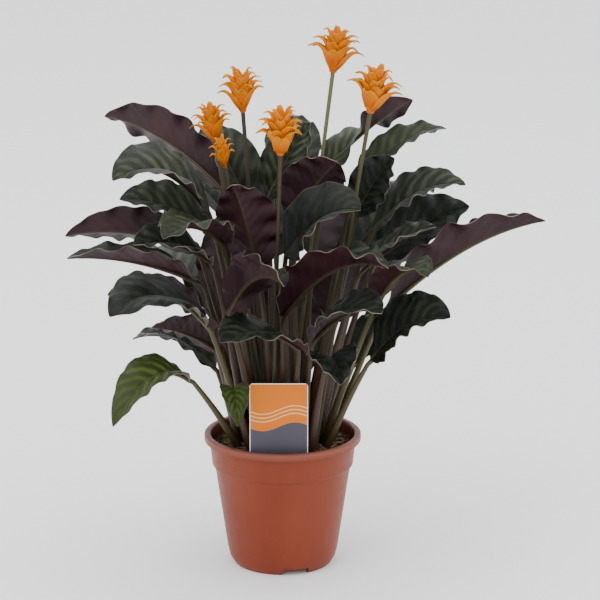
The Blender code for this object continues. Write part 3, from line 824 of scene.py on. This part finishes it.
def make_stem(number, bloom, foot, finish):
    """A flower stem, thicker at the soil and under the head. Gives the direction it ends in."""
    end = Vector(bloom.base) * MM
    path = stalk_path(foot, end, STEM_BOW)
    climb = [bezier(path, step / STEM_STEPS) for step in range(STEM_STEPS + 1)]
    points = [foot - UP * STALK_DEPTH * MM] + climb
    radii = []
    for step in range(len(points)):
        share = step / (len(points) - 1)
        radii.append(STEM_RADIUS * (1.0 - 0.16 * math.sin(math.pi * share)))
    bm = bmesh.new()
    bm.loops.layers.uv.new("stem")
    tube(bm, points, radii, 12)
    stem = new_object(f"flame_stem_{number}", bm, [finish], 60)
    add_piece(stem, "flower_stem", f"flower_stem_{number}")
    return (bezier(path, 1) - bezier(path, 0.8)).normalized()


def spun(profile, steps):
    """A round closed shape from an outline of (radius, height) in millimetres."""
    bm = bmesh.new()
    points = [bm.verts.new((radius * MM, 0, height * MM)) for radius, height in profile]
    edges = [bm.edges.new(pair) for pair in zip(points, points[1:])]
    bmesh.ops.spin(
        bm, geom=points + edges, axis=UP, cent=(0, 0, 0), steps=steps, angle=math.tau, use_merge=True
    )
    bmesh.ops.remove_doubles(bm, verts=bm.verts, dist=0.00001)
    bmesh.ops.recalc_face_normals(bm, faces=bm.faces)
    return bm


def make_pot(finish):
    """The pot, with rounded edges, three notches in its foot and six drain holes."""
    profile = POT_OUTSIDE + POT_UNDERSIDE + POT_INSIDE + POT_OUTSIDE[:1]
    pot = new_object("nursery_pot", spun(profile, POT_STEPS), [finish])
    round_edges = pot.modifiers.new("Rounding", "BEVEL")
    round_edges.width = POT_EDGE * MM
    round_edges.segments = 2
    round_edges.limit_method = "ANGLE"
    round_edges.angle_limit = math.radians(25)
    bm = bmesh.new()
    width, depth, height = NOTCH_SIZE
    foot = POT_OUTSIDE[-1][0]
    for index in range(NOTCH_COUNT):
        turn = Matrix.Rotation(math.radians(NOTCH_TURN) + math.tau * index / NOTCH_COUNT, 4, "Z")
        size = Matrix.Diagonal((width * MM, depth * MM, (height + NOTCH_PLAY) * MM, 1))
        place = Matrix.Translation(Vector((0, -foot - NOTCH_PLAY, (height - NOTCH_PLAY) / 2)) * MM)
        bmesh.ops.create_cube(bm, size=1, matrix=turn @ place @ size)
    low, high = DRAIN_CUT
    for index in range(DRAIN_COUNT):
        angle = math.tau * (index + 0.5) / DRAIN_COUNT
        place = Vector((math.sin(angle) * DRAIN_CIRCLE, -math.cos(angle) * DRAIN_CIRCLE, (low + high) / 2)) * MM
        bmesh.ops.create_cone(
            bm,
            cap_ends=True,
            segments=24,
            radius1=DRAIN_RADIUS * MM,
            radius2=DRAIN_RADIUS * MM,
            depth=(high - low) * MM,
            matrix=Matrix.Translation(place),
        )
    cutters = new_object("pot_cutters", bm, [])
    holes = pot.modifiers.new("Holes", "BOOLEAN")
    holes.object = cutters
    holes.solver = "EXACT"
    holes.use_self = True
    apply_modifiers(pot, 30)
    bpy.data.objects.remove(cutters)
    add_piece(pot, "pot_plastic", "pot")


def make_soil(finish):
    """Lumpy peat, a closed body that fills the pot."""
    profile = []
    for step in range(SOIL_RINGS + 1):
        radius = SOIL_RADIUS * step / SOIL_RINGS
        profile.append((radius, soil_height(radius * MM) / MM + HEAP))
    bm = spun(profile + SOIL_SIDE, SOIL_STEPS)
    for vert in bm.verts:
        radius = vert.co.xy.length
        if vert.co.z > 100 * MM:
            calm = 1 - smooth((radius / MM - 58) / 4)
            lumps = noise.noise(vert.co * 130) * 1.6 + noise.noise(vert.co * 420) * 0.9
            vert.co.z += (lumps - 0.6) * MM * (0.3 + 0.7 * calm)
    soil = new_object("peat", bm, [finish], 180)
    add_piece(soil, "soil", "soil")


def make_crumbs(name, count, sizes, finish, seed):
    """Loose crumbs that lie half sunk in the peat."""
    chance = random.Random(seed)
    bm = bmesh.new()
    for _ in range(count):
        radius = 61 * math.sqrt(chance.random()) * MM
        angle = chance.uniform(0, math.tau)
        size = chance.uniform(*sizes) * MM
        height = soil_height(radius) + (HEAP - 0.2) * MM
        place = Matrix.Translation((radius * math.cos(angle), radius * math.sin(angle), height))
        heading = Matrix.Rotation(chance.uniform(0, math.tau), 4, "Z")
        tilt = Matrix.Rotation(chance.uniform(-1, 1), 4, "X")
        shape = Matrix.Diagonal((size * chance.uniform(0.7, 1.5), size, size * chance.uniform(0.45, 0.9), 1))
        bmesh.ops.create_icosphere(bm, subdivisions=1, radius=1, matrix=place @ heading @ tilt @ shape)
    add_piece(new_object(name, bm, [finish], 40), "soil")


def make_roots(finish):
    """Pale thin roots that lie on the peat."""
    chance = random.Random(5)
    bm = bmesh.new()
    bm.loops.layers.uv.new("root")
    for _ in range(70):
        radius = chance.uniform(34, 57)
        angle = chance.uniform(0, math.tau)
        heading = chance.uniform(0, math.tau)
        spot = Vector((radius * math.cos(angle), radius * math.sin(angle), 0)) * MM
        points = []
        for _ in range(7):
            if spot.length > 60 * MM:
                break
            height = soil_height(spot.xy.length) + (HEAP + chance.uniform(0.2, 1.4)) * MM
            points.append(Vector((spot.x, spot.y, height)))
            heading += chance.uniform(-0.8, 0.8)
            spot += Vector((math.cos(heading), math.sin(heading), 0)) * chance.uniform(1.2, 2.4) * MM
        if len(points) > 2:
            width = chance.uniform(0.18, 0.4) * MM
            tube(bm, points, [width] * len(points), 5)
    add_piece(new_object("peat_roots", bm, [finish], 60), "soil")


def make_label(finish):
    """The card with rounded corners, and its stake."""
    bm = bmesh.new()
    height = TAG_TOP - TAG_FOOT
    card = bmesh.ops.create_cube(bm, size=1)["verts"]
    bmesh.ops.scale(bm, vec=Vector((TAG_WIDTH, TAG_THICKNESS, height)) * MM, verts=card)
    corners = [
        edge for edge in bm.edges
        if abs(edge.verts[0].co.y - edge.verts[1].co.y) > TAG_THICKNESS * MM / 2 and edge.verts[0].co.z > 0
    ]
    bmesh.ops.bevel(
        bm, geom=corners, offset=TAG_CORNER * MM, segments=6, profile=0.5, affect="EDGES", material=-1
    )
    bmesh.ops.translate(bm, vec=(0, 0, (TAG_FOOT + height / 2) * MM), verts=bm.verts)
    stake = bmesh.ops.create_cube(bm, size=1)["verts"]
    stake_height = TAG_FOOT + 1 - STAKE_TIP
    for vert in stake:
        narrow = 1 if vert.co.z > 0 else STAKE_POINT
        across = vert.co.x * STAKE_WIDTH * narrow
        level = STAKE_TIP + (vert.co.z + 0.5) * stake_height
        vert.co = Vector((across, vert.co.y * TAG_THICKNESS * 0.98, level)) * MM
    bmesh.ops.translate(bm, vec=Vector((*TAG_PLACE, 0)) * MM, verts=bm.verts)
    add_piece(new_object("plant_label", bm, [finish], 30), "label_card", "label")


def main():
    """Camera and stage, then pot, soil and label, leaves, and flowers."""
    make_camera()
    make_stage()
    make_pot(pot_finish())
    make_soil(soil_finish("peat", srgb("2c1e14"), srgb("6c543a"), 160))
    crumb = soil_finish("peat crumb", srgb("302214"), srgb("6e563a"), 400)
    make_crumbs("peat_crumbs", 620, (0.7, 2.2), crumb, 7)
    bits = soil_finish("pale bits", srgb("6a543c"), srgb("b79c78"), 500)
    make_crumbs("peat_bits", 70, (0.5, 1.2), bits, 11)
    make_roots(new_material("root", srgb("8f7a5c"), 0.8))
    make_label(card_finish())
    green = leaf_top("leaf top", srgb("0f150b"), srgb("222b18"), srgb("454e37"), srgb("3c4228"))
    # A darker copy of the leaf top for the leaves inside the clump: painted shade
    shaded_top = leaf_top("shaded leaf top", srgb("070b06"), srgb("131b10"), srgb("29331f"), srgb("262c18"))
    young = leaf_top("young leaf top", srgb("2a3410"), srgb("465620"), srgb("5a6c2a"), srgb("687634"))
    olive = leaf_top("olive leaf top", srgb("191f10"), srgb("333b22"), srgb("57603f"), srgb("4c4e30"))
    tops = {number: shaded_top for number in SHADED_LEAVES}
    tops.update({number: young for number in YOUNG_LEAVES})
    tops.update({number: olive for number in OLIVE_LEAVES})
    under = leaf_underside()
    margin = margin_finish()
    russet_stalk = stalk_finish("russet stalk", srgb("220f09"), srgb("371b10"), srgb("302513"))
    green_stalk = stalk_finish("green stalk", srgb("2f200c"), srgb("403a1a"), srgb("454322"))
    feet = stalk_feet()
    for number, (leaf, foot) in enumerate(zip(LEAVES, feet), 1):
        stalk = green_stalk if number in GREEN_STALKS else russet_stalk
        make_leaf(number, leaf, foot, [tops.get(number, green), under, margin], stalk)
    heads = [bract_finish(), funnel_finish()]
    common_stem = stem_finish("flower stem", srgb("2e2817"), srgb("3c3621"))
    stems = {
        1: stem_finish("pale flower stem", srgb("3a381f"), srgb("565a3a")),
        3: stem_finish("dark flower stem", srgb("1c1310"), srgb("2a1d18")),
        4: stem_finish("brown flower stem", srgb("21170d"), srgb("2c1e11")),
    }
    for number, (bloom, foot) in enumerate(zip(BLOOMS, feet[len(LEAVES):]), 1):
        axis = make_stem(number, bloom, foot, stems.get(number, common_stem))
        make_head(number, bloom, axis, heads)


main()
